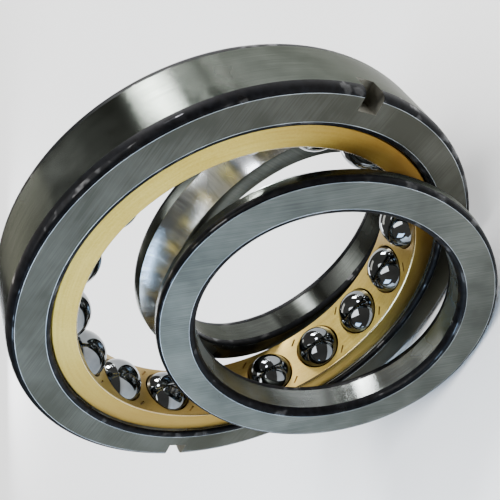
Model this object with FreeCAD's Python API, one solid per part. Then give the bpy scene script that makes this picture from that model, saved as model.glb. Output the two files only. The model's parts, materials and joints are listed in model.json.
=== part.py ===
"""Angular contact ball bearing with a split inner ring, taken apart.

The outer ring stands on its rim with the machined cage and the balls still
in it. The two halves of the inner ring stand either side of it and lean in
through its bore until they meet. Millimetres, +Z up, +X along the bearing
axis, origin on the axis at the middle of the outer ring's width.
"""

import FreeCAD, Part
import math
import os

# Boundary dimensions of the assembled bearing.
OUTSIDE_DIAMETER = 250.0
BORE_DIAMETER = 140.0
WIDTH = 42.0

# Rolling elements.
BALL_COUNT = 17
BALL_DIAMETER = 28.575
FIRST_BALL_DEG = 19.4

# The pitch circle lies this far inside the middle of the ring section.
PITCH_INSET = 1.0

# Raceways: groove radius as a share of the ball diameter, contact angle of
# the two inner grooves, and how far the balls stand clear of the races.
GROOVE_CONFORMITY = 0.52
CONTACT_ANGLE_DEG = 35.0
BALL_CLEARANCE = 0.05

# Shoulders left standing beside the raceways, measured from the pitch circle.
OUTER_SHOULDER_OFF_PITCH = 8.5
INNER_SHOULDER_OFF_PITCH = 6.0

# Corner breaks, measured radially and along the axis.
RIM_CORNER_RADIAL = 3.3
RIM_CORNER_AXIAL = 5.6
MOUTH_CORNER_RADIAL = 2.6
MOUTH_CORNER_AXIAL = 2.6
HALF_RIM_CORNER_RADIAL = 2.15
HALF_RIM_CORNER_AXIAL = 3.0
HALF_BORE_CORNER_RADIAL = 3.25
HALF_BORE_CORNER_AXIAL = 4.3
SPLIT_BORE_CORNER_RADIAL = 1.4
SPLIT_BORE_CORNER_AXIAL = 3.8
CORNER_BULGE = 0.45

# Cage, guided by the shoulders of the outer ring.
CAGE_GUIDE_CLEARANCE = 0.35
CAGE_BORE_OFF_PITCH = 4.1
CAGE_RECESS = 3.35
CAGE_EDGE_BREAK = 0.6
POCKET_CLEARANCE = 0.3
POCKET_LIP_HEIGHT = 0.9
POCKET_LIP_REACH = 0.4

# Stake marks pressed into the cage bore beside each pocket.
STAKE_LENGTH = 5.0
STAKE_WIDTH = 1.0
STAKE_DEPTH = 0.5
STAKE_OFF_POCKET = 2.4
STAKE_DIAGONAL_DEG = 45.0

# Locating slots in the front rim of the outer ring, half a turn apart.
SLOT_COUNT = 2
SLOT_WIDTH = 10.5
SLOT_RADIAL_DEPTH = 10.1
SLOT_AXIAL_DEPTH = 12.7
SLOT_FIRST_DEG = -6.3

# How the two inner halves stand: how far the front one leans, how far each
# keeps from the ring and the cage, and the gap where they meet. The rear one
# leans as far as it must to meet the front one.
FRONT_LEAN_DEG = 14.2
FRONT_STANDING_GAP = 0.58
REAR_STANDING_GAP = 0.69
LEANING_GAP = 0.3
LEAN_STEP_DEG = 0.1
EDGE_SAMPLES = 720

# Sizes that follow from the ones above.
RIM_RADIUS = OUTSIDE_DIAMETER / 2
BORE_RADIUS = BORE_DIAMETER / 2
HALF_WIDTH = WIDTH / 2
BALL_RADIUS = BALL_DIAMETER / 2
PITCH_RADIUS = (RIM_RADIUS + BORE_RADIUS) / 2 - PITCH_INSET
OUTER_SHOULDER_RADIUS = PITCH_RADIUS + OUTER_SHOULDER_OFF_PITCH
INNER_SHOULDER_RADIUS = PITCH_RADIUS - INNER_SHOULDER_OFF_PITCH
GROOVE_RADIUS = GROOVE_CONFORMITY * BALL_DIAMETER
GROOVE_EXCESS = GROOVE_RADIUS - BALL_RADIUS
CONTACT_ANGLE = math.radians(CONTACT_ANGLE_DEG)
OUTER_GROOVE_CENTRE = PITCH_RADIUS - GROOVE_EXCESS + BALL_CLEARANCE
INNER_GROOVE_CENTRE = PITCH_RADIUS + GROOVE_EXCESS * math.cos(CONTACT_ANGLE) - BALL_CLEARANCE
INNER_GROOVE_OFFSET = GROOVE_EXCESS * math.sin(CONTACT_ANGLE)
CAGE_RADIUS = OUTER_SHOULDER_RADIUS - CAGE_GUIDE_CLEARANCE
CAGE_BORE_RADIUS = PITCH_RADIUS - CAGE_BORE_OFF_PITCH
CAGE_HALF_WIDTH = HALF_WIDTH - CAGE_RECESS
POCKET_RADIUS = BALL_RADIUS + POCKET_CLEARANCE
FLOOR_Z = -RIM_RADIUS

AXIS_X = FreeCAD.Vector(1, 0, 0)
AXIS_Y = FreeCAD.Vector(0, 1, 0)
AXIS_Z = FreeCAD.Vector(0, 0, 1)
ORIGIN = FreeCAD.Vector(0, 0, 0)


def at(x, radius):
    """A profile point: x along the bearing axis, radius away from it."""
    return FreeCAD.Vector(x, 0, radius)


def line(start, end):
    return Part.makeLine(start, end)


def rounded_corner(start, corner, end):
    """An arc that replaces the sharp corner between two profile points."""
    chord_middle = (start + end) * 0.5
    middle = chord_middle + (corner - chord_middle) * CORNER_BULGE
    return Part.Arc(start, middle, end).toShape()


def revolve(edges):
    """Turn a closed profile about the bearing axis."""
    face = Part.Face(Part.Wire(Part.__sortEdges__(edges)))
    return face.revolve(ORIGIN, AXIS_X, 360)


def turned_about_axis(shape, degrees):
    copy = shape.copy()
    copy.rotate(ORIGIN, AXIS_X, degrees)
    return copy


def outer_groove_half_width():
    drop = OUTER_SHOULDER_RADIUS - OUTER_GROOVE_CENTRE
    return math.sqrt(GROOVE_RADIUS ** 2 - drop ** 2)


def inner_groove_edge():
    """Distance from the split face to where the groove meets the shoulder."""
    drop = INNER_GROOVE_CENTRE - INNER_SHOULDER_RADIUS
    return math.sqrt(GROOVE_RADIUS ** 2 - drop ** 2) - INNER_GROOVE_OFFSET


def split_face_radius():
    """Outside radius of an inner half where its two halves meet."""
    return INNER_GROOVE_CENTRE - math.sqrt(GROOVE_RADIUS ** 2 - INNER_GROOVE_OFFSET ** 2)


def locating_slot():
    """The cutter for one slot in the front corner of the rim, on +Y."""
    beyond = RIM_CORNER_RADIAL
    size = (SLOT_AXIAL_DEPTH + beyond, SLOT_RADIAL_DEPTH + beyond, SLOT_WIDTH)
    corner = FreeCAD.Vector(
        HALF_WIDTH - SLOT_AXIAL_DEPTH,
        RIM_RADIUS - SLOT_RADIAL_DEPTH,
        -SLOT_WIDTH / 2,
    )
    return Part.makeBox(*size, corner)


def make_outer_ring():
    """One-piece outer ring: two shoulders, a deep groove, two rim slots."""
    groove = outer_groove_half_width()
    edges = []
    for side in (-1, 1):
        face = side * HALF_WIDTH
        rim_start = at(face - side * RIM_CORNER_AXIAL, RIM_RADIUS)
        rim_end = at(face, RIM_RADIUS - RIM_CORNER_RADIAL)
        mouth_start = at(face, OUTER_SHOULDER_RADIUS + MOUTH_CORNER_RADIAL)
        mouth_end = at(face - side * MOUTH_CORNER_AXIAL, OUTER_SHOULDER_RADIUS)
        edges.append(rounded_corner(rim_start, at(face, RIM_RADIUS), rim_end))
        edges.append(line(rim_end, mouth_start))
        edges.append(rounded_corner(mouth_start, at(face, OUTER_SHOULDER_RADIUS), mouth_end))
        edges.append(line(mouth_end, at(side * groove, OUTER_SHOULDER_RADIUS)))
    rim_half = HALF_WIDTH - RIM_CORNER_AXIAL
    edges.append(line(at(-rim_half, RIM_RADIUS), at(rim_half, RIM_RADIUS)))
    groove_bottom = at(0, OUTER_GROOVE_CENTRE + GROOVE_RADIUS)
    groove_edges = [at(side * groove, OUTER_SHOULDER_RADIUS) for side in (-1, 1)]
    edges.append(Part.Arc(groove_edges[0], groove_bottom, groove_edges[1]).toShape())
    ring = revolve(edges)
    slots = []
    for index in range(SLOT_COUNT):
        slots.append(turned_about_axis(locating_slot(), SLOT_FIRST_DEG + 360 / SLOT_COUNT * index))
    return ring.cut(slots)


def pocket():
    """The cutter for one ball pocket, bored radially along +Y."""
    mouth_level = CAGE_BORE_RADIUS + POCKET_LIP_HEIGHT
    bored_length = RIM_RADIUS - mouth_level
    bored = Part.makeCylinder(POCKET_RADIUS, bored_length, FreeCAD.Vector(0, mouth_level, 0), AXIS_Y)
    lip_start = FreeCAD.Vector(0, BORE_RADIUS, 0)
    lip_radius = POCKET_RADIUS - POCKET_LIP_REACH
    lip = Part.makeCylinder(lip_radius, RIM_RADIUS - BORE_RADIUS, lip_start, AXIS_Y)
    return bored.fuse(lip)


def stake_marks():
    """Cutters for the pair of stake marks beside the pocket that lies on +Y."""
    marks = []
    reach = POCKET_RADIUS + STAKE_OFF_POCKET
    height = STAKE_LENGTH
    for half_turn in (0, 180):
        start = FreeCAD.Vector(reach, 0, -STAKE_LENGTH / 2)
        mark = Part.makeBox(STAKE_WIDTH, height, STAKE_LENGTH, start)
        mark.rotate(ORIGIN, AXIS_Y, half_turn - STAKE_DIAGONAL_DEG)
        bore_level = math.sqrt(CAGE_BORE_RADIUS ** 2 - mark.BoundBox.Center.z ** 2)
        mark.translate(FreeCAD.Vector(0, bore_level + STAKE_DEPTH - height, 0))
        marks.append(mark)
    return marks


def make_cage():
    """Machined one-piece cage: a plain sleeve with a pocket for each ball."""
    half = CAGE_HALF_WIDTH
    cut = CAGE_EDGE_BREAK
    outline = [
        at(-half + cut, CAGE_RADIUS),
        at(half - cut, CAGE_RADIUS),
        at(half, CAGE_RADIUS - cut),
        at(half, CAGE_BORE_RADIUS + cut),
        at(half - cut, CAGE_BORE_RADIUS),
        at(-half + cut, CAGE_BORE_RADIUS),
        at(-half, CAGE_BORE_RADIUS + cut),
        at(-half, CAGE_RADIUS - cut),
    ]
    edges = [line(start, end) for start, end in zip(outline, outline[1:] + outline[:1])]
    cutters = []
    for index in range(BALL_COUNT):
        for cutter in [pocket()] + stake_marks():
            cutters.append(turned_about_axis(cutter, ball_angle(index)))
    return revolve(edges).cut(cutters)


def ball_angle(index):
    return FIRST_BALL_DEG + 360 / BALL_COUNT * index


def make_ball(index):
    angle = math.radians(ball_angle(index))
    centre = FreeCAD.Vector(0, PITCH_RADIUS * math.cos(angle), PITCH_RADIUS * math.sin(angle))
    return Part.makeSphere(BALL_RADIUS, centre, AXIS_X)


def make_inner_half():
    """One half of the inner ring: split face at x = 0, side face at +x."""
    split_radius = split_face_radius()
    groove_edge = at(inner_groove_edge(), INNER_SHOULDER_RADIUS)
    middle_x = inner_groove_edge() / 2
    middle_drop = math.sqrt(GROOVE_RADIUS ** 2 - (middle_x + INNER_GROOVE_OFFSET) ** 2)
    split_bore_start = at(0, BORE_RADIUS + SPLIT_BORE_CORNER_RADIAL)
    split_bore_end = at(SPLIT_BORE_CORNER_AXIAL, BORE_RADIUS)
    bore_start = at(HALF_WIDTH - HALF_BORE_CORNER_AXIAL, BORE_RADIUS)
    bore_end = at(HALF_WIDTH, BORE_RADIUS + HALF_BORE_CORNER_RADIAL)
    rim_end = at(HALF_WIDTH, INNER_SHOULDER_RADIUS - HALF_RIM_CORNER_RADIAL)
    rim_start = at(HALF_WIDTH - HALF_RIM_CORNER_AXIAL, INNER_SHOULDER_RADIUS)
    groove_middle = at(middle_x, INNER_GROOVE_CENTRE - middle_drop)
    return revolve([
        line(at(0, split_radius), split_bore_start),
        rounded_corner(split_bore_start, at(0, BORE_RADIUS), split_bore_end),
        line(split_bore_end, bore_start),
        rounded_corner(bore_start, at(HALF_WIDTH, BORE_RADIUS), bore_end),
        line(bore_end, rim_end),
        rounded_corner(rim_end, at(HALF_WIDTH, INNER_SHOULDER_RADIUS), rim_start),
        line(rim_start, groove_edge),
        Part.Arc(groove_edge, groove_middle, at(0, split_radius)).toShape(),
    ])


def split_centre_height(lean):
    """Height of the split face's centre when the groove's edge is on the floor."""
    foot = INNER_SHOULDER_RADIUS * math.cos(lean) - inner_groove_edge() * math.sin(lean)
    return FLOOR_Z + foot


def nearest_split_x(lean):
    """How near to the middle of the bearing a leaning half's centre can stand.

    The two outer edges of the groove come nearest to the ring and the cage, so
    points all round both are moved out until none is inside either.
    """
    nearest = 0.0
    for along, radius in ((0, split_face_radius()), (inner_groove_edge(), INNER_SHOULDER_RADIUS)):
        for sample in range(EDGE_SAMPLES):
            turn = 2 * math.pi * sample / EDGE_SAMPLES
            upward = radius * math.sin(turn)
            offset = along * math.cos(lean) - upward * math.sin(lean)
            height = along * math.sin(lean) + upward * math.cos(lean)
            reach = math.hypot(radius * math.cos(turn), split_centre_height(lean) + height)
            if reach > OUTER_SHOULDER_RADIUS:
                nearest = max(nearest, HALF_WIDTH - offset)
            elif reach > CAGE_BORE_RADIUS:
                nearest = max(nearest, CAGE_HALF_WIDTH - offset)
    return nearest


def front_split_x():
    return nearest_split_x(math.radians(FRONT_LEAN_DEG)) + FRONT_STANDING_GAP


def meeting_split_x(rear_lean):
    """Where a rear half with this lean stands when it meets the front half."""
    front_lean = math.radians(FRONT_LEAN_DEG)
    top_x = front_split_x() - split_face_radius() * math.sin(front_lean)
    top_z = split_centre_height(front_lean) + split_face_radius() * math.cos(front_lean)
    rise = top_z - split_centre_height(rear_lean)
    return top_x - rise * math.tan(rear_lean) - LEANING_GAP / math.cos(rear_lean)


def rear_lean_angle():
    """The lean at which the rear half stands by the ring and meets the front."""
    lean = 0.0
    steps = 0
    while meeting_split_x(lean) > -nearest_split_x(lean) - REAR_STANDING_GAP:
        steps += 1
        lean = math.radians(steps * LEAN_STEP_DEG)
    return lean


def make_inner_half_front():
    """The half in front of the outer ring, leaning back into its bore."""
    half = make_inner_half()
    half.rotate(ORIGIN, AXIS_Y, -FRONT_LEAN_DEG)
    height = split_centre_height(math.radians(FRONT_LEAN_DEG))
    half.translate(FreeCAD.Vector(front_split_x(), 0, height))
    return half


def make_inner_half_rear():
    """The half behind the outer ring, leaning forward to meet the other."""
    lean = rear_lean_angle()
    half = make_inner_half()
    half.rotate(ORIGIN, AXIS_Z, 180)
    half.rotate(ORIGIN, AXIS_Y, math.degrees(lean))
    half.translate(FreeCAD.Vector(meeting_split_x(lean), 0, split_centre_height(lean)))
    return half


def main():
    os.makedirs("parts", exist_ok=True)
    shapes = {
        "outer_ring": make_outer_ring(),
        "cage": make_cage(),
        "inner_half_front": make_inner_half_front(),
        "inner_half_rear": make_inner_half_rear(),
    }
    for index in range(BALL_COUNT):
        shapes["ball_%02d" % (index + 1)] = make_ball(index)
    for node, shape in shapes.items():
        shape.exportStep("parts/" + node + ".step")


main()
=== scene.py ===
# %% [markdown]
# # An angular contact ball bearing, taken apart
# The outer ring stands on its rim with the brass cage and the balls in it, and
# the two halves of the split inner ring lean in through its bore. This lesson
# builds each piece by turning its real section about its axis, then gives each
# machined surface the finish that its own process leaves: ground, polished,
# turned, or black from the furnace.

# %% Load the CAD frame
import json
import math
import bmesh
import bpy
from mathutils import Matrix, Vector


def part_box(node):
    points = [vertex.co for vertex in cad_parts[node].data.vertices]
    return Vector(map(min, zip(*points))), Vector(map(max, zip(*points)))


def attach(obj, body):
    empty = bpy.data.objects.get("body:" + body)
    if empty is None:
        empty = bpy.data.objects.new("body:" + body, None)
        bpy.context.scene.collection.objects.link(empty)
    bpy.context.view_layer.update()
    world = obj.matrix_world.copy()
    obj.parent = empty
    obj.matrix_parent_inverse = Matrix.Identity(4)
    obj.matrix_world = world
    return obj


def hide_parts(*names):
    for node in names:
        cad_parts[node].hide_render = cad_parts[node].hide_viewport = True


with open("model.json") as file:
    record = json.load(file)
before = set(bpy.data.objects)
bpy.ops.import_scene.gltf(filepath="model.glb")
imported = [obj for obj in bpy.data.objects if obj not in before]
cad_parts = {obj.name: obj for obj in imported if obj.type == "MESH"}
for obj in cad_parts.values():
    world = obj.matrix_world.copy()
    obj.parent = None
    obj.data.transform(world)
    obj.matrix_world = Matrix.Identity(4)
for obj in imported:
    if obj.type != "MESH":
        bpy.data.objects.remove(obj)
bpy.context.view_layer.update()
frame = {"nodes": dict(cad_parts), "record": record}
MM = 0.001

# %% [markdown]
# The sections are drawn in millimetres, as on the bearing's own drawing: x runs
# along the bearing axis and the second number is the radius. The places of the
# balls and of the two inner halves come from the frame, so the visual pieces
# sit exactly where the CAD has them.

# %% Sizes that several pieces share
RIM_RADIUS = 125.0
HALF_WIDTH = 21.0
OUTER_SHOULDER = 105.0
INNER_SHOULDER = 90.5
BALL_RADIUS = 14.2875
GROOVE_RADIUS = 14.859

ball_nodes = sorted(name for name in frame["nodes"] if name.startswith("ball_"))
ball_centres = {}
for name in ball_nodes:
    low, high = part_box(name)
    ball_centres[name] = (low + high) / 2
mounts = {mount["name"]: mount for mount in frame["record"]["mounts"]}
floor_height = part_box("outer_ring")[0].z
print("balls:", len(ball_nodes), " floor at", round(floor_height / MM, 2), "mm")

# %% [markdown]
# The corners of a section come first. A turned corner break is a short curve
# that bulges towards the corner it replaces, and a raceway is a plain arc, a
# little wider than the ball that runs in it.

# %% Curves of a section
CORNER_BULGE = 0.9


def rounded(start, corner, end, steps=8):
    """Points of a rounded corner from start to end, bulging towards corner."""
    start, corner, end = Vector(start), Vector(corner), Vector(end)
    middle = (start + end) / 2
    pull = middle + (corner - middle) * CORNER_BULGE
    points = []
    for step in range(steps + 1):
        t = step / steps
        points.append(start * (1 - t) ** 2 + pull * 2 * t * (1 - t) + end * t ** 2)
    return points


def groove_arc(centre, radius, start, end, steps=24):
    """Points of a raceway arc about centre, between two angles in degrees."""
    points = []
    for step in range(steps + 1):
        angle = math.radians(start + (end - start) * step / steps)
        points.append((centre[0] + radius * math.cos(angle), centre[1] + radius * math.sin(angle)))
    return points


def mirrored(points):
    """The same points on the other side of the middle plane."""
    return [(-x, radius) for x, radius in reversed([tuple(point) for point in points])]


# %% [markdown]
# A bearing ring is a turned part: one section swept round one axis. A bmesh
# wire of the section, spun a full turn, gives exactly that. The section is
# split into bands, one for each surface with a finish of its own, so each
# band's faces know their material from the start. The corners a real ring has
# between its ground surfaces are never knife sharp, so the finished solid gets
# a very small bevel along every sharp loop, which catches the light.

# %% Turning a section
SEGMENTS = 288
WELD = 0.01
BEVEL_FROM_DEG = 18


def turned(bands, bevel_width=0.2):
    """Spin bands of (material number, section points) into a closed ring."""
    ring = bmesh.new()
    for number, points in bands:
        known = set(ring.faces)
        row = [ring.verts.new((x * MM, 0, radius * MM)) for x, radius in points]
        wire = [ring.edges.new(pair) for pair in zip(row, row[1:])]
        bmesh.ops.spin(ring, geom=row + wire, axis=(1, 0, 0), cent=(0, 0, 0),
                       angle=math.tau, steps=SEGMENTS, use_merge=True)
        for face in ring.faces:
            if face not in known:
                face.material_index = number
    bmesh.ops.remove_doubles(ring, verts=ring.verts, dist=WELD * MM)
    bmesh.ops.recalc_face_normals(ring, faces=ring.faces)
    sharp = [edge for edge in ring.edges if edge.calc_face_angle(0) > math.radians(BEVEL_FROM_DEG)]
    bmesh.ops.bevel(ring, geom=sharp, offset=bevel_width * MM, affect="EDGES",
                    segments=2, profile=0.5, material=-1)
    return ring


# %% [markdown]
# Machining lines follow the surface, so each piece carries two maps in
# millimetres: Wrap is unrolled round the ring, and Plan is the ring seen along
# its axis. Only then is the piece moved to its place, inside its own mesh, so
# that the object itself stays at the origin.

# %% Maps and objects
WRAP_RADIUS = 100
SMOOTH_UP_TO_DEG = 35


def wrap(ring):
    """Two UV maps in millimetres: Wrap goes round the ring, Plan looks along its axis."""
    wrap_layer = ring.loops.layers.uv.new("Wrap")
    plan_layer = ring.loops.layers.uv.new("Plan")
    for face in ring.faces:
        turns = [math.atan2(loop.vert.co.z, loop.vert.co.y) for loop in face.loops]
        first = turns[0]
        for loop, turn in zip(face.loops, turns):
            turn = first + math.remainder(turn - first, math.tau)
            co = loop.vert.co / MM
            radius = math.hypot(co.y, co.z)
            loop[wrap_layer].uv = (turn * WRAP_RADIUS, co.x + radius)
            loop[plan_layer].uv = (co.y, co.z)


def finished(ring, name, materials, place=Matrix.Identity(4)):
    """Put a bmesh in its place in the frame and make an object of it."""
    wrap(ring)
    ring.transform(place)
    for face in ring.faces:
        face.smooth = True
    for edge in ring.edges:
        edge.smooth = edge.calc_face_angle(0) < math.radians(SMOOTH_UP_TO_DEG)
    mesh = bpy.data.meshes.new(name)
    ring.to_mesh(mesh)
    ring.free()
    for material in materials:
        mesh.materials.append(material)
    piece = bpy.data.objects.new(name, mesh)
    bpy.context.scene.collection.objects.link(piece)
    print(name, "faces", len(mesh.polygons))
    return piece


# %% [markdown]
# Materials come next, because each piece names its finishes as it is made. One
# function turns a paint-chart hex colour into the linear value that a shader
# wants, one turns a real pattern size into a noise scale, and one adds a node
# with its settings and links.

# %% Helpers for materials
def linear(code):
    """An sRGB hex colour as linear red, green, blue and alpha."""
    shades = [int(code[place:place + 2], 16) / 255 for place in (1, 3, 5)]
    return [c / 12.92 if c <= 0.04045 else ((c + 0.055) / 1.055) ** 2.4 for c in shades] + [1]


def per_metre(size):
    """How many patches of a size in millimetres go into one metre of Object coordinates."""
    return 1 / (size * MM)


def add(tree, kind, inputs=None, **settings):
    """Add a node, set its properties, and fill or link its inputs."""
    node = tree.nodes.new(kind)
    for key, value in settings.items():
        setattr(node, key, value)
    for key, value in (inputs or {}).items():
        if isinstance(value, bpy.types.NodeSocket):
            tree.links.new(value, node.inputs[key])
        else:
            node.inputs[key].default_value = value
    return node


def new_material(name):
    """An empty material, its node tree and its shader."""
    material = bpy.data.materials.new(name)
    material.use_nodes = True
    tree = material.node_tree
    shader = tree.nodes["Principled BSDF"]
    return material, tree, shader


# A Mix node has a set of sockets for each kind of value; these are its colours.
FIRST_COLOUR, SECOND_COLOUR, MIXED_COLOUR = 6, 7, 2

# %% [markdown]
# Ground bearing steel. A grinding wheel leaves fine parallel lines. On a rim
# or a bore they run round the ring, so a highlight is drawn out across them,
# along the axis: that is what the anisotropy does, with the Wrap map as its
# direction. Real lines are a few hundredths of a millimetre apart, too fine to
# show, so the pattern is drawn at about a millimetre. A thin film of oil lies
# on the steel and blurs it in soft clouds.

# %% Ground steel
GRINDING_LINE_LENGTH = 40.0
OIL_CLOUD = 35.7
ACROSS_THE_LINES = 0.25


def ground_steel(name, dark, light, roughness, anisotropy, line_mm, map_name, crossing=0.0):
    """Steel with grinding lines line_mm apart; crossing turns them, in radians."""
    material, tree, shader = new_material(name)
    uv = add(tree, "ShaderNodeUVMap", uv_map=map_name).outputs["UV"]
    crossed = add(tree, "ShaderNodeMapping", {"Vector": uv, "Rotation": (0, 0, crossing)})
    stretched = add(tree, "ShaderNodeMapping", {
        "Vector": crossed.outputs["Vector"], "Scale": (1 / GRINDING_LINE_LENGTH, 1 / line_mm, 1)})
    lines = add(tree, "ShaderNodeTexNoise", {
        "Vector": stretched.outputs["Vector"], "Scale": 1.0, "Detail": 4.0, "Roughness": 0.7}).outputs["Fac"]
    place = add(tree, "ShaderNodeTexCoord").outputs["Object"]
    clouds = add(tree, "ShaderNodeTexNoise", {
        "Vector": place, "Scale": per_metre(OIL_CLOUD), "Detail": 3.0, "Roughness": 0.55}).outputs["Fac"]
    # The lines show where the oil is thin, and the film lifts the tone where it is thick.
    film = add(tree, "ShaderNodeMath", {0: clouds, 1: 0.4}, operation="MULTIPLY").outputs[0]
    tone = add(tree, "ShaderNodeMath", {0: lines, 1: clouds, 2: film}, operation="MULTIPLY_ADD").outputs[0]
    share = add(tree, "ShaderNodeMapRange", {
        "Value": tone, "From Min": 0.36, "From Max": 0.64}).outputs["Result"]
    colour = add(tree, "ShaderNodeMix", {
        0: share, FIRST_COLOUR: linear(dark), SECOND_COLOUR: linear(light)}, data_type="RGBA")
    tree.links.new(colour.outputs[MIXED_COLOUR], shader.inputs["Base Color"])
    rough = add(tree, "ShaderNodeMapRange", {
        "Value": clouds, "From Min": 0.3, "From Max": 0.7,
        "To Min": roughness * 0.8, "To Max": roughness * 1.25})
    tree.links.new(rough.outputs["Result"], shader.inputs["Roughness"])
    bump = add(tree, "ShaderNodeBump", {"Height": lines, "Strength": 0.04, "Distance": 0.2 * MM})
    tree.links.new(bump.outputs["Normal"], shader.inputs["Normal"])
    shader.inputs["Metallic"].default_value = 1.0
    shader.inputs["Anisotropic"].default_value = anisotropy
    shader.inputs["Anisotropic Rotation"].default_value = ACROSS_THE_LINES
    # Oiled steel mirrors a little less than bare steel when it is seen at a low angle.
    shader.inputs["Specular Tint"].default_value = linear("#BCBCB8")
    tangent = add(tree, "ShaderNodeTangent", direction_type="UV_MAP", uv_map=map_name)
    tree.links.new(tangent.outputs["Tangent"], shader.inputs["Tangent"])
    print("material", name)
    return material


# The rim is ground between centres: long bright bands along the axis.
rim_steel = ground_steel("ground_rim_steel", "#454945", "#5C605B", 0.22, 0.9, 0.9, "Wrap")
# The faces are ground flat on a table: an even grey with straight, crossing lines.
face_steel = ground_steel("surface_ground_face_steel", "#363630", "#4C4C46",
                          0.36, 0.3, 0.7, "Plan", 0.35)
half_face_steel = ground_steel("surface_ground_half_steel", "#41433F", "#5B5D57",
                               0.32, 0.3, 0.7, "Plan", 1.15)
# A bore is ground by a small fast wheel: a brighter surface with sharper bands.
bore_steel = ground_steel("ground_bore_steel", "#6A6E6C", "#8C918F", 0.25, 1.0, 1.1, "Wrap")
# The same grinding, darker: painted shade for the half in the ring's shade, nearly black between its bands.
shaded_rear_bore_steel = ground_steel("painted_shade_bore_steel", "#3A3C39", "#50534F", 0.25, 1.0, 1.1, "Wrap")
# A lapped raceway, with broad streaks of light and dark across the groove that are painted reflections.
raceway_steel_painted_streaks = ground_steel("raceway_steel_painted_reflection_streaks", "#9A9FA1", "#F6F8F8",
                             0.24, 1.0, 5.0, "Wrap", math.pi / 2)

# %% [markdown]
# The balls are tumbled and lapped until they mirror, so their look is mostly
# what they reflect, over a dark steel. The same plain steel, rougher, serves
# for the bright line along each edge, partly handling wear and partly a painted
# highlight, and for the milled walls of the slots.

# %% Polished, worn and milled steel
FINGER_MARK = 16.67
POLISH_RIPPLE = 4.0


def polished_steel(name, dark, light, roughness, waviness):
    """Plain steel with faint marks of handling and a slight ripple."""
    material, tree, shader = new_material(name)
    place = add(tree, "ShaderNodeTexCoord").outputs["Object"]
    marks = add(tree, "ShaderNodeTexNoise", {
        "Vector": place, "Scale": per_metre(FINGER_MARK), "Detail": 3.0}).outputs["Fac"]
    share = add(tree, "ShaderNodeMapRange", {
        "Value": marks, "From Min": 0.4, "From Max": 0.6}).outputs["Result"]
    colour = add(tree, "ShaderNodeMix", {
        0: share, FIRST_COLOUR: linear(dark), SECOND_COLOUR: linear(light)}, data_type="RGBA")
    tree.links.new(colour.outputs[MIXED_COLOUR], shader.inputs["Base Color"])
    rough = add(tree, "ShaderNodeMapRange", {
        "Value": marks, "From Min": 0.35, "From Max": 0.65,
        "To Min": roughness * 0.6, "To Max": roughness * 1.5})
    tree.links.new(rough.outputs["Result"], shader.inputs["Roughness"])
    ripple = add(tree, "ShaderNodeTexNoise", {
        "Vector": place, "Scale": per_metre(POLISH_RIPPLE), "Detail": 1.0}).outputs["Fac"]
    bump = add(tree, "ShaderNodeBump", {"Height": ripple, "Strength": waviness, "Distance": 0.2 * MM})
    tree.links.new(bump.outputs["Normal"], shader.inputs["Normal"])
    shader.inputs["Metallic"].default_value = 1.0
    print("material", name)
    return material


# Lapped balls: a near mirror, dark because the steel under it is oiled.
ball_steel = polished_steel("lapped_ball_steel", "#5C5F61", "#6E7173", 0.05, 0.01)
# An edge line round each face, partly worn by handling and partly a painted highlight.
edge_steel_wear_and_highlight = polished_steel("steel_edge_wear_and_painted_highlight", "#70767A", "#9AA0A3", 0.18, 0.05)
# Milled slot walls: dull, slightly warm and uneven.
slot_steel = polished_steel("milled_slot_steel", "#6C6A62", "#8C8A80", 0.42, 0.1)

# %% [markdown]
# The corner breaks are turned before hardening and never ground, so they keep
# the black scale of the furnace, and the preserving oil gathers there. Black
# scale under oil is a dark rough base, with a clear, glossy coat where the oil
# stands in pools.

# %% Black corner
SCALE_GRAIN = 3.125
OIL_POOL = 8.333

black_steel, tree, shader = new_material("furnace_black_oiled_steel")
place = add(tree, "ShaderNodeTexCoord").outputs["Object"]
grain = add(tree, "ShaderNodeTexNoise", {
    "Vector": place, "Scale": per_metre(SCALE_GRAIN), "Detail": 4.0}).outputs["Fac"]
share = add(tree, "ShaderNodeMapRange", {
    "Value": grain, "From Min": 0.35, "From Max": 0.75}).outputs["Result"]
colour = add(tree, "ShaderNodeMix", {
    0: share, FIRST_COLOUR: linear("#040405"), SECOND_COLOUR: linear("#101114")}, data_type="RGBA")
tree.links.new(colour.outputs[MIXED_COLOUR], shader.inputs["Base Color"])
pool = add(tree, "ShaderNodeTexNoise", {
    "Vector": place, "Scale": per_metre(OIL_POOL), "Detail": 2.0}).outputs["Fac"]
bump = add(tree, "ShaderNodeBump", {"Height": pool, "Strength": 0.25, "Distance": 0.6 * MM})
tree.links.new(bump.outputs["Normal"], shader.inputs["Normal"])
tree.links.new(bump.outputs["Normal"], shader.inputs["Coat Normal"])
coat = add(tree, "ShaderNodeMapRange", {
    "Value": pool, "From Min": 0.56, "From Max": 0.64, "To Min": 0.02, "To Max": 0.5})
tree.links.new(coat.outputs["Result"], shader.inputs["Coat Weight"])
shader.inputs["Coat Roughness"].default_value = 0.04
shader.inputs["Roughness"].default_value = 0.45
shader.inputs["Specular IOR Level"].default_value = 0.05
print("material", black_steel.name)

# %% [markdown]
# The cage is turned from solid brass, bored for the balls, and left as the
# tools left it: a satin surface whose fine rings show only as a soft grain.
# A brown painted shade darkens it low on its +Y side and along its -Y side,
# where it would mirror shaded floor, so the painted shade follows the place on the cage.

# %% Machined brass
TOOL_RING_LENGTH = 25.0
BRASS_GRAIN = 1.111
TONE_AND_SHADE_CLOUD = 28.57
# The colour of the painted shade on the cage.
PAINTED_SHADE_COLOUR = "#6E4C1A"


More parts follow.
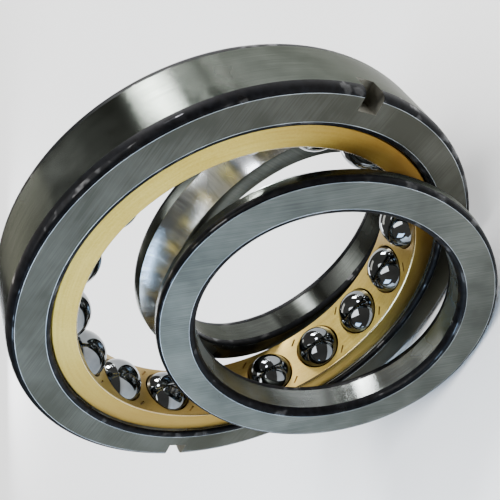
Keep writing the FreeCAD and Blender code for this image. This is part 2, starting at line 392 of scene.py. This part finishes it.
def machined_brass(name, dark, light, roughness, ring_mm, metallic):
    """Turned brass with tool rings ring_mm apart, with painted shade on one side and low down."""
    material, tree, shader = new_material(name)
    uv = add(tree, "ShaderNodeUVMap", uv_map="Wrap").outputs["UV"]
    stretched = add(tree, "ShaderNodeMapping", {
        "Vector": uv, "Scale": (1 / TOOL_RING_LENGTH, 1 / ring_mm, 1)}).outputs["Vector"]
    rings = add(tree, "ShaderNodeTexNoise", {
        "Vector": stretched, "Scale": 1.0, "Detail": 3.0, "Roughness": 0.6}).outputs["Fac"]
    place = add(tree, "ShaderNodeTexCoord").outputs["Object"]
    grain = add(tree, "ShaderNodeTexNoise", {
        "Vector": place, "Scale": per_metre(BRASS_GRAIN), "Detail": 2.0}).outputs["Fac"]
    clouds = add(tree, "ShaderNodeTexNoise", {
        "Vector": place, "Scale": per_metre(TONE_AND_SHADE_CLOUD), "Detail": 3.0}).outputs["Fac"]
    # Rings, grain and clouds add up to one tone, each with its own share.
    tone = add(tree, "ShaderNodeMath", {0: rings, 1: 0.4}, operation="MULTIPLY").outputs[0]
    tone = add(tree, "ShaderNodeMath", {0: grain, 1: 0.25, 2: tone}, operation="MULTIPLY_ADD").outputs[0]
    tone = add(tree, "ShaderNodeMath", {0: clouds, 1: 0.35, 2: tone}, operation="MULTIPLY_ADD").outputs[0]
    share = add(tree, "ShaderNodeMapRange", {
        "Value": tone, "From Min": 0.38, "From Max": 0.62}).outputs["Result"]
    clean = add(tree, "ShaderNodeMix", {
        0: share, FIRST_COLOUR: linear(dark), SECOND_COLOUR: linear(light)}, data_type="RGBA")
    # The painted shade grows down the slope towards +Y and the floor, and again towards -Y.
    side = add(tree, "ShaderNodeSeparateXYZ", {"Vector": place}).outputs
    slope = add(tree, "ShaderNodeMath", {0: side["Y"], 1: side["Z"]}, operation="SUBTRACT").outputs[0]
    slope = add(tree, "ShaderNodeMath", {0: clouds, 1: 0.05, 2: slope}, operation="MULTIPLY_ADD").outputs[0]
    lower_painted_shade = add(tree, "ShaderNodeMapRange", {
        "Value": slope, "From Min": 75 * MM, "From Max": 155 * MM, "To Max": 0.9}).outputs["Result"]
    side_painted_shade = add(tree, "ShaderNodeMapRange", {
        "Value": side["Y"], "From Min": -20 * MM, "From Max": -85 * MM, "To Max": 0.7}).outputs["Result"]
    painted_shade = add(tree, "ShaderNodeMath", {0: lower_painted_shade, 1: side_painted_shade}, operation="MAXIMUM").outputs[0]
    # Painted shade: the brown is mixed over the clean brass.
    with_painted_shade = add(tree, "ShaderNodeMix", {
        0: painted_shade, FIRST_COLOUR: clean.outputs[MIXED_COLOUR], SECOND_COLOUR: linear(PAINTED_SHADE_COLOUR)},
        data_type="RGBA")
    tree.links.new(with_painted_shade.outputs[MIXED_COLOUR], shader.inputs["Base Color"])
    rough = add(tree, "ShaderNodeMapRange", {
        "Value": tone, "From Min": 0.35, "From Max": 0.65,
        "To Min": roughness * 0.85, "To Max": roughness * 1.2})
    tree.links.new(rough.outputs["Result"], shader.inputs["Roughness"])
    bump = add(tree, "ShaderNodeBump", {"Height": tone, "Strength": 0.12, "Distance": 0.2 * MM})
    tree.links.new(bump.outputs["Normal"], shader.inputs["Normal"])
    shader.inputs["Metallic"].default_value = metallic
    print("material", name)
    return material


# Turned outside and sides: a deep, satin yellow.
brass_face = machined_brass("turned_brass_face", "#A08A3C", "#BBA656", 0.45, 1.2, 1.0)
# The bore: a paler copy of the brass, painted light, and less like a mirror.
brass_bore_painted_light = machined_brass("bored_brass_painted_light", "#B89F46", "#D8C36C", 0.42, 1.4, 0.6)
# Drilled pockets: a darker brown, painted shade in the recesses.
brass_pocket_painted_shade = machined_brass("drilled_brass_pocket_painted_shade", "#6E5630", "#8C7242", 0.34, 0.9, 1.0)
# The inner corner: a thin pale line, partly worn brass and partly a painted highlight.
brass_edge_wear_and_highlight = machined_brass("brass_edge_wear_and_painted_highlight", "#E6D49A", "#F6EAC0", 0.2, 0.9, 1.0)

# %% [markdown]
# The outer ring. Its section is symmetrical, so one side is written down and
# the other is its mirror. Points part-way along a flat stretch add no shape:
# they keep its shading flat right up to the corner.

# %% Outer ring
RIM, CORNER, FACE, BORE, RACE, EDGE, SLOT = range(7)
# The width of the bright edge line round each face, partly wear and partly a painted highlight.
WEAR_AND_HIGHLIGHT_WIDTH = 0.22
RIM_CORNER_ALONG = 5.6
RIM_CORNER_DEEP = 3.3
MOUTH_CORNER = 2.6
OUTER_GROOVE_CENTRE = 95.978
RIM_LOOP = 5.0
FACE_LOOP = 114.5

rim_end = HALF_WIDTH - RIM_CORNER_ALONG
face_top = RIM_RADIUS - RIM_CORNER_DEEP
face_foot = OUTER_SHOULDER + MOUTH_CORNER
bore_end = HALF_WIDTH - MOUTH_CORNER
groove_rise = OUTER_SHOULDER - OUTER_GROOVE_CENTRE
groove_half_width = math.sqrt(GROOVE_RADIUS ** 2 - groove_rise ** 2)
groove_start = math.degrees(math.asin(groove_rise / GROOVE_RADIUS))
one_side = [
    (CORNER, rounded((rim_end, RIM_RADIUS), (HALF_WIDTH, RIM_RADIUS), (HALF_WIDTH, face_top))),
    (EDGE, [(HALF_WIDTH, face_top), (HALF_WIDTH, face_top - WEAR_AND_HIGHLIGHT_WIDTH)]),
    (FACE, [(HALF_WIDTH, face_top - WEAR_AND_HIGHLIGHT_WIDTH), (HALF_WIDTH, FACE_LOOP), (HALF_WIDTH, face_foot + WEAR_AND_HIGHLIGHT_WIDTH)]),
    (EDGE, [(HALF_WIDTH, face_foot + WEAR_AND_HIGHLIGHT_WIDTH), (HALF_WIDTH, face_foot)]),
    (CORNER, rounded((HALF_WIDTH, face_foot), (HALF_WIDTH, OUTER_SHOULDER), (bore_end, OUTER_SHOULDER))),
    (BORE, [(bore_end, OUTER_SHOULDER), (groove_half_width, OUTER_SHOULDER)]),
]
outer_bands = [(RIM, [(x, RIM_RADIUS) for x in (-rim_end, -RIM_LOOP, RIM_LOOP, rim_end)])]
for number, points in one_side:
    outer_bands += [(number, points), (number, mirrored(points))]
outer_bands.append((RACE, groove_arc((0, OUTER_GROOVE_CENTRE), GROOVE_RADIUS,
                                     groove_start, 180 - groove_start)))
outer_materials = [rim_steel, black_steel, face_steel, bore_steel, raceway_steel_painted_streaks, edge_steel_wear_and_highlight, slot_steel]
outer_ring = finished(turned(outer_bands), "outer_ring_ground", outer_materials)

# %% [markdown]
# The two locating slots are milled into the front corner of the rim, as the
# real ones are: by taking a block out of the turned ring. The block's faces
# carry the milled finish, and the cut leaves it on the slot's walls.

# %% Locating slots
SLOT_LENGTH = 12.7
SLOT_DEPTH = 10.1
SLOT_WIDTH = 10.5
CUTTER_LENGTH = 16
CUTTER_HEIGHT = 14
CUT_SHARP_DEG = 30


def boolean_cut(piece, cutter):
    """Cut one piece with another and keep the result as the piece's own mesh."""
    cut = piece.modifiers.new("cut", "BOOLEAN")
    cut.operation = "DIFFERENCE"
    cut.solver = "EXACT"
    cut.material_mode = "INDEX"
    cut.object = cutter
    evaluated = piece.evaluated_get(bpy.context.evaluated_depsgraph_get())
    mesh = bpy.data.meshes.new_from_object(evaluated)
    mesh.set_sharp_from_angle(angle=math.radians(CUT_SHARP_DEG))
    piece.modifiers.clear()
    piece.data = mesh
    bpy.data.objects.remove(cutter)
    print(piece.name, "after its cuts has", len(mesh.polygons), "faces")


slots = bmesh.new()
cutter_size = Matrix.Diagonal((CUTTER_LENGTH * MM, CUTTER_HEIGHT * MM, SLOT_WIDTH * MM, 1))
cutter_centre = Matrix.Translation(Vector((HALF_WIDTH - SLOT_LENGTH + CUTTER_LENGTH / 2,
                                           RIM_RADIUS - SLOT_DEPTH + CUTTER_HEIGHT / 2, 0)) * MM)
for mount_name in ("locating_slot_a", "locating_slot_b"):
    place = Vector(mounts[mount_name]["pos_m"])
    around = Matrix.Rotation(math.atan2(place.z, place.y), 4, "X")
    made = bmesh.ops.create_cube(slots, size=1.0)["verts"]
    bmesh.ops.transform(slots, matrix=around @ cutter_centre @ cutter_size, verts=made)
for face in slots.faces:
    face.material_index = SLOT
boolean_cut(outer_ring, finished(slots, "slot_cutter", outer_materials))
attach(outer_ring, "outer_ring")
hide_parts("outer_ring")

# %% [markdown]
# The cage: a brass sleeve, turned like the rings, with a small break at each
# corner. The inner one is pale, partly worn bright and partly a painted highlight.

# %% Cage sleeve
SIDE, INSIDE, POCKET, BRIGHT = range(4)
CAGE_RADIUS = 104.65
CAGE_BORE = 92.4
CAGE_HALF_WIDTH = 17.65
CAGE_BREAK = 0.6
CAGE_BEVEL = 0.12
CAGE_LOOP = 6.0
CAGE_FACE_LOOP = 98.5

sleeve_end = CAGE_HALF_WIDTH - CAGE_BREAK
cage_side = [(sleeve_end, CAGE_RADIUS), (CAGE_HALF_WIDTH, CAGE_RADIUS - CAGE_BREAK),
             (CAGE_HALF_WIDTH, CAGE_FACE_LOOP), (CAGE_HALF_WIDTH, CAGE_BORE + CAGE_BREAK)]
inner_break_wear_and_highlight = [(CAGE_HALF_WIDTH, CAGE_BORE + CAGE_BREAK), (sleeve_end, CAGE_BORE)]
along = (-sleeve_end, -CAGE_LOOP, CAGE_LOOP, sleeve_end)
cage_bands = [
    (SIDE, [(x, CAGE_RADIUS) for x in along]),
    (SIDE, cage_side),
    (SIDE, mirrored(cage_side)),
    (BRIGHT, inner_break_wear_and_highlight),
    (BRIGHT, mirrored(inner_break_wear_and_highlight)),
    (INSIDE, [(x, CAGE_BORE) for x in along]),
]
brass = [brass_face, brass_bore_painted_light, brass_pocket_painted_shade, brass_edge_wear_and_highlight]
cage = finished(turned(cage_bands, CAGE_BEVEL), "brass_cage", brass)

# %% [markdown]
# A round pocket for each ball is bored from outside and stops short of the
# inside, where a thin lip stays and keeps the ball from dropping out. Beside
# each pocket two small punch marks stake the metal. All of them are gathered
# in one cutter, so that the sleeve is cut only once.

# %% Pockets and punch marks
POCKET_RADIUS = BALL_RADIUS + 0.3
LIP_RADIUS = POCKET_RADIUS - 0.4
LIP_TOP = 93.3
BORED_FROM = 110
LIP_CUT = (84, 93.6)
DRILL_SEGMENTS = 96
PUNCH_WIDTH = 1
PUNCH_SIZE = 5
PUNCH_DEPTH = 0.5
PUNCH_OFF_POCKET = 2.9
PUNCH_DEG = 45
PUNCH_ASIDE = 12.4

upright = Matrix.Rotation(math.radians(-90), 4, "X")
punch = Matrix.Diagonal((PUNCH_WIDTH * MM, PUNCH_SIZE * MM, PUNCH_SIZE * MM, 1))
reach = Matrix.Translation(((POCKET_RADIUS + PUNCH_OFF_POCKET) * MM, 0, 0))
# The bore curves away from the pocket's middle, so the mark sits a little nearer the axis.
bore_under_mark = math.sqrt(CAGE_BORE ** 2 - PUNCH_ASIDE ** 2)
sink = Matrix.Translation((0, (bore_under_mark + PUNCH_DEPTH - PUNCH_SIZE / 2) * MM, 0))
cutters = bmesh.new()
for name in ball_nodes:
    centre = ball_centres[name]
    around = Matrix.Rotation(math.atan2(centre.z, centre.y), 4, "X")
    for radius, (start, end) in ((POCKET_RADIUS, (LIP_TOP, BORED_FROM)), (LIP_RADIUS, LIP_CUT)):
        made = bmesh.ops.create_cone(cutters, cap_ends=True, segments=DRILL_SEGMENTS, radius1=radius * MM,
                                     radius2=radius * MM, depth=(end - start) * MM)["verts"]
        shift = Matrix.Translation((0, (start + end) / 2 * MM, 0))
        bmesh.ops.transform(cutters, matrix=around @ shift @ upright, verts=made)
    for half_turn in (0, 180):
        made = bmesh.ops.create_cube(cutters, size=1.0)["verts"]
        spin = Matrix.Rotation(math.radians(half_turn - PUNCH_DEG), 4, "Y")
        bmesh.ops.transform(cutters, matrix=around @ sink @ spin @ reach @ punch, verts=made)
for face in cutters.faces:
    face.material_index = POCKET
boolean_cut(cage, finished(cutters, "pocket_cutter", brass))
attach(cage, "cage")
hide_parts("cage")

# %% [markdown]
# The balls: 17 lapped steel balls. An icosphere has no poles, so its
# reflections stay even all round, as a lapped ball's do.

# %% Balls
for name in ball_nodes:
    sphere = bmesh.new()
    bmesh.ops.create_icosphere(sphere, subdivisions=5, radius=BALL_RADIUS * MM)
    ball = finished(sphere, "lapped_" + name, [ball_steel], Matrix.Translation(ball_centres[name]))
    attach(ball, name)
    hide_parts(name)

# %% [markdown]
# The two halves of the inner ring are the same part. Each is half a groove
# wide open at its split face, with a shoulder that carries the load. x is
# counted from the split face here, and the section is read from the bore, up
# the side face, over the shoulder and down the groove.

# %% Section of an inner half
SHAFT_RADIUS = 70.0
SPLIT_CORNER_ALONG = 3.8
SPLIT_CORNER_DEEP = 1.4
BORE_CORNER_ALONG = 4.3
BORE_CORNER_DEEP = 3.25
SHOULDER_CORNER_ALONG = 3.0
SHOULDER_CORNER_DEEP = 2.15
GROOVE_CENTRE_X = -0.328
GROOVE_CENTRE_RADIUS = 96.918
GROOVE_EDGE = 13.074
SPLIT_RADIUS = 82.063
HALF_BORE_LOOP = 10.0
HALF_FACE_LOOP = 81.0
SPLIT_FACE_LOOP = 76.5

bore_from = SPLIT_CORNER_ALONG
bore_to = HALF_WIDTH - BORE_CORNER_ALONG
face_low = SHAFT_RADIUS + BORE_CORNER_DEEP
face_high = INNER_SHOULDER - SHOULDER_CORNER_DEEP
shoulder_end = HALF_WIDTH - SHOULDER_CORNER_ALONG
split_foot = SHAFT_RADIUS + SPLIT_CORNER_DEEP
edge_angle = math.degrees(math.atan2(INNER_SHOULDER - GROOVE_CENTRE_RADIUS, GROOVE_EDGE - GROOVE_CENTRE_X))
split_angle = math.degrees(math.atan2(SPLIT_RADIUS - GROOVE_CENTRE_RADIUS, -GROOVE_CENTRE_X))
half_bands = [
    (BORE, [(x, SHAFT_RADIUS) for x in (bore_from, HALF_BORE_LOOP, bore_to)]),
    (CORNER, rounded((bore_to, SHAFT_RADIUS), (HALF_WIDTH, SHAFT_RADIUS), (HALF_WIDTH, face_low))),
    (EDGE, [(HALF_WIDTH, face_low), (HALF_WIDTH, face_low + WEAR_AND_HIGHLIGHT_WIDTH)]),
    (FACE, [(HALF_WIDTH, radius) for radius in (face_low + WEAR_AND_HIGHLIGHT_WIDTH, HALF_FACE_LOOP, face_high - WEAR_AND_HIGHLIGHT_WIDTH)]),
    (EDGE, [(HALF_WIDTH, face_high - WEAR_AND_HIGHLIGHT_WIDTH), (HALF_WIDTH, face_high)]),
    (CORNER, rounded((HALF_WIDTH, face_high), (HALF_WIDTH, INNER_SHOULDER),
                     (shoulder_end, INNER_SHOULDER))),
    (RIM, [(shoulder_end, INNER_SHOULDER), (GROOVE_EDGE, INNER_SHOULDER)]),
    (RACE, groove_arc((GROOVE_CENTRE_X, GROOVE_CENTRE_RADIUS), GROOVE_RADIUS, edge_angle, split_angle)),
    (FACE, [(0, SPLIT_RADIUS), (0, SPLIT_FACE_LOOP), (0, split_foot)]),
    (CORNER, rounded((0, split_foot), (0, SHAFT_RADIUS), (bore_from, SHAFT_RADIUS))),
]
print("groove of a half runs from", round(edge_angle), "to", round(split_angle), "degrees")

# %% [markdown]
# The bore mount in the record says where each half's axis runs. The mount lies
# at the middle of the bore, so the split face is that far back along the axis.
# The rear half lies in the ring's shade, so its bore gets the copy with painted shade.

# %% Inner ring halves
bore_middle = (bore_from + bore_to) / 2
for side, own_bore_steel in (("front", bore_steel), ("rear", shaded_rear_bore_steel)):
    mount = mounts[side + "_half_bore"]
    axis = Vector(mount["axis"])
    across = Vector((0, 1, 0))
    place = Matrix((axis, across, axis.cross(across))).transposed().to_4x4()
    place.translation = Vector(mount["pos_m"]) - axis * bore_middle * MM
    half_materials = [rim_steel, black_steel, half_face_steel, own_bore_steel, raceway_steel_painted_streaks, edge_steel_wear_and_highlight]
    half = finished(turned(half_bands), "inner_half_%s_ground" % side, half_materials, place)
    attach(half, "inner_half_" + side)
    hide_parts("inner_half_" + side)

# %% [markdown]
# The floor is plain and pale, so that nothing competes with the metal. It lies
# a hair below the rings, so that no two surfaces share one plane.

# %% Floor
FLOOR_SIZE = 40.0
HAIR = 0.2

material, tree, shader = new_material("pale_floor")
shader.inputs["Base Color"].default_value = linear("#F6F6F5")
shader.inputs["Roughness"].default_value = 0.9
floor_mesh = bmesh.new()
bmesh.ops.create_grid(floor_mesh, x_segments=2, y_segments=2, size=FLOOR_SIZE)
bmesh.ops.translate(floor_mesh, verts=floor_mesh.verts, vec=(0, 0, floor_height - HAIR * MM))
floor_data = bpy.data.meshes.new("floor")
floor_mesh.to_mesh(floor_data)
floor_mesh.free()
floor_data.materials.append(material)
floor = bpy.data.objects.new("floor", floor_data)
bpy.context.scene.collection.objects.link(floor)
print("floor", FLOOR_SIZE * 2, "m wide")

# %% [markdown]
# Polished metal shows its surroundings more than itself, so the lamps matter
# as much as the materials. A window-like panel and two thin strips stand
# behind, where the rim and the bores turn them into clean bands, and a side
# panel adds a softer one. A warm panel and three cool ones colour what the
# metal shows between the bands. The broad one overhead lights the floor. The
# last cool one hangs close by and faces straight down.

# %% Lamps
def panel(name, azimuth, elevation, distance, wide, tall, brightness, colour):
    """A soft panel facing the bearing; its place and size are angles in degrees."""
    light = bpy.data.lights.new(name, "AREA")
    light.shape = "RECTANGLE"
    light.size = 2 * distance * math.tan(math.radians(wide / 2))
    light.size_y = 2 * distance * math.tan(math.radians(tall / 2))
    light.energy = brightness * math.pi * light.size * light.size_y
    light.color = linear(colour)[:3]
    lamp = bpy.data.objects.new(name, light)
    a, e = math.radians(azimuth), math.radians(elevation)
    direction = Vector((math.cos(e) * math.cos(a), math.cos(e) * math.sin(a), math.sin(e)))
    lamp.location = direction * distance
    lamp.rotation_euler = direction.to_track_quat("Z", "Y").to_euler()
    lamp.visible_camera = False
    bpy.context.scene.collection.objects.link(lamp)
    print(name, "power", round(light.energy, 1), "W")
    return lamp


# name, azimuth, elevation, distance in metres, width, height, brightness, colour
panel("window_panel", 151, 19, 6, 16, 8, 110, "#FFFFFF")
panel("low_strip_panel", 148, 9, 6, 16, 0.6, 70, "#FFFFFF")
panel("lowest_strip_panel", 146, 1.5, 6, 16, 0.6, 40, "#FFFFFF")
panel("side_panel", 118, 31, 6, 7, 8, 75, "#F4F6FF")
panel("warm_panel", -150, 28, 6, 26, 14, 3.6, "#F6F0E6")
panel("overhead_panel", 60, 78, 4, 46, 46, 9.5, "#FDFEFF")
panel("cool_panel", -46, 3, 2, 30, 12, 6, "#CFE2F6")
panel("low_side_panel", -134, 2, 1.3, 16, 8, 14, "#F6F8FF")
wash = panel("cool_wash_panel", -41, 21, 0.9, 31, 31, 16, "#B4D4F8")
wash.rotation_euler = (0, 0, 0)

# %% [markdown]
# The rest of the room is a dim, slightly warm grey. Steel shows it between the
# lamps, so it sets how dark the dark parts of the rings are.

# %% Room
world = bpy.data.worlds.new("studio")
world.use_nodes = True
background = world.node_tree.nodes["Background"]
background.inputs["Color"].default_value = linear("#D8D4CC")
background.inputs["Strength"].default_value = 0.34
bpy.context.scene.world = world
print("world", world.name)

# %% [markdown]
# The camera looks down on the bearing from the front and is rolled on its
# side, so that the axis of the rings runs across the picture. Its place and
# its two axes are in the bearing's own frame, in metres.

# %% Camera
CAMERA_PLACE = (0.27133, 0.23878, 0.19217)
CAMERA_RIGHT = Vector((0.35702, 0.31471, -0.87949))
CAMERA_UP = Vector((-0.63769, 0.77011, 0.01671))

camera_data = bpy.data.cameras.new("camera")
camera_data.lens = 55.12
camera_data.sensor_width = 36.0
camera = bpy.data.objects.new("camera", camera_data)
bpy.context.scene.collection.objects.link(camera)
backward = CAMERA_RIGHT.cross(CAMERA_UP)
camera.matrix_world = Matrix((CAMERA_RIGHT, CAMERA_UP, backward)).transposed().to_4x4()
camera.location = CAMERA_PLACE
bpy.context.scene.camera = camera
print("camera", round(camera.location.length, 3), "m from the bearing's centre")
